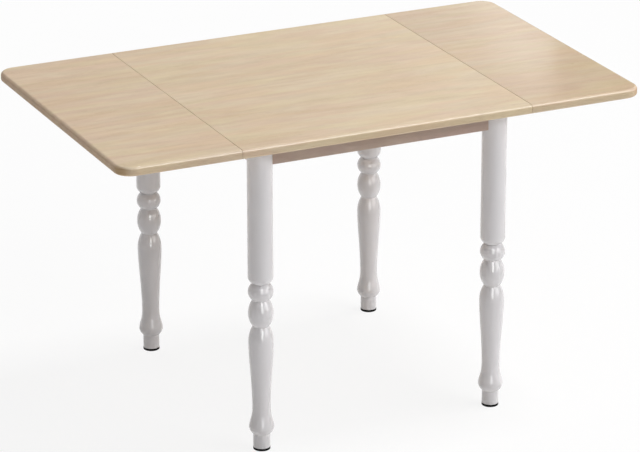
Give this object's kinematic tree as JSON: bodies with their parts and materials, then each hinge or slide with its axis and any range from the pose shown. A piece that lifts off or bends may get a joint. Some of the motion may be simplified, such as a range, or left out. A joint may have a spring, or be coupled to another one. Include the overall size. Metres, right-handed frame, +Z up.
{
  "type": "drop-leaf folding table",
  "caption": "Drop-leaf dining table with a light oak top: a fixed centre on white turned legs and a hinged leaf at each end that folds down on strut stays.",
  "frame": {"origin": "on the floor under the middle of the table", "axes": "+X along the table's length towards the right leaf, +Y to the back, +Z up"},
  "size_m": [1.3, 0.77, 0.75],
  "materials": {
    "oak_top": "satin lacquered light oak",
    "oak_rails": "matt light oak",
    "white_legs": "white semi-gloss paint",
    "black_pads": "moulded black",
    "zinc_steel": "bright zinc plate",
    "zinc_fasteners": "zinc plate"
  },
  "bodies": {
    "frame": {"corner_bracket_back_left": "zinc_steel", "corner_bracket_back_right": "zinc_steel", "corner_bracket_front_left": "zinc_steel", "corner_bracket_front_right": "zinc_steel", "corner_bracket_screws": "zinc_fasteners", "foot_pad_back_left": "black_pads", "foot_pad_back_right": "black_pads", "foot_pad_front_left": "black_pads", "foot_pad_front_right": "black_pads", "foot_pad_screws": "zinc_fasteners", "hanger_bolts": "zinc_fasteners", "hanger_nuts": "zinc_fasteners", "hinge_left_back_fixed_plate": "zinc_steel", "hinge_left_front_fixed_plate": "zinc_steel", "hinge_left_middle_fixed_plate": "zinc_steel", "hinge_pins": "zinc_fasteners", "hinge_right_back_fixed_plate": "zinc_steel", "hinge_right_front_fixed_plate": "zinc_steel", "hinge_right_middle_fixed_plate": "zinc_steel", "hinge_screws": "zinc_fasteners", "leg_back_left": "white_legs", "leg_back_right": "white_legs", "leg_front_left": "white_legs", "leg_front_right": "white_legs", "rail_back": "oak_rails", "rail_front": "oak_rails", "rail_left": "oak_rails", "rail_right": "oak_rails", "stay_bracket_back_left": "zinc_steel", "stay_bracket_back_right": "zinc_steel", "stay_bracket_front_left": "zinc_steel", "stay_bracket_front_right": "zinc_steel", "stay_bracket_screws": "zinc_fasteners", "stay_rivets": "zinc_fasteners", "top_bracket_back_left": "zinc_steel", "top_bracket_back_right": "zinc_steel", "top_bracket_front_left": "zinc_steel", "top_bracket_front_right": "zinc_steel", "top_bracket_screws": "zinc_fasteners", "top_panel": "oak_top"},
    "leaf_left": {"hinge_left_back_leaf_plate": "zinc_steel", "hinge_left_front_leaf_plate": "zinc_steel", "hinge_left_middle_leaf_plate": "zinc_steel", "leaf_left": "oak_top", "leaf_left_screws": "zinc_fasteners", "stay_plate_back_left": "zinc_steel", "stay_plate_front_left": "zinc_steel"},
    "leaf_right": {"hinge_right_back_leaf_plate": "zinc_steel", "hinge_right_front_leaf_plate": "zinc_steel", "hinge_right_middle_leaf_plate": "zinc_steel", "leaf_right": "oak_top", "leaf_right_screws": "zinc_fasteners", "stay_plate_back_right": "zinc_steel", "stay_plate_front_right": "zinc_steel"},
    "strut_back_left": {"stay_strut_back_left": "zinc_steel"},
    "strut_back_right": {"stay_strut_back_right": "zinc_steel"},
    "strut_front_left": {"stay_strut_front_left": "zinc_steel"},
    "strut_front_right": {"stay_strut_front_right": "zinc_steel"}
  },
  "joints": [
    {"name": "leaf_left_hinge", "type": "hinge", "parent": "frame", "child": "leaf_left", "pos_m": [-0.36, 0, 0.724], "axis": [0, -1, 0], "range_deg": [0, 90]},
    {"name": "strut_front_left_pivot", "type": "hinge", "parent": "frame", "child": "strut_front_left", "pos_m": [-0.316, -0.148, 0.68], "axis": [0, -1, 0], "range_deg": [0, 90]},
    {"name": "strut_back_left_pivot", "type": "hinge", "parent": "frame", "child": "strut_back_left", "pos_m": [-0.316, 0.148, 0.68], "axis": [0, -1, 0], "range_deg": [0, 90]},
    {"name": "leaf_right_hinge", "type": "hinge", "parent": "frame", "child": "leaf_right", "pos_m": [0.36, 0, 0.724], "axis": [0, 1, 0], "range_deg": [0, 90]},
    {"name": "strut_front_right_pivot", "type": "hinge", "parent": "frame", "child": "strut_front_right", "pos_m": [0.316, -0.148, 0.68], "axis": [0, 1, 0], "range_deg": [0, 90]},
    {"name": "strut_back_right_pivot", "type": "hinge", "parent": "frame", "child": "strut_back_right", "pos_m": [0.316, 0.148, 0.68], "axis": [0, 1, 0], "range_deg": [0, 90]}
  ],
  "couplings": [
    {"joint": "strut_front_left_pivot", "follows": "leaf_left_hinge", "ratio": 1},
    {"joint": "strut_back_left_pivot", "follows": "leaf_left_hinge", "ratio": 1},
    {"joint": "strut_front_right_pivot", "follows": "leaf_right_hinge", "ratio": 1},
    {"joint": "strut_back_right_pivot", "follows": "leaf_right_hinge", "ratio": 1}
  ]
}
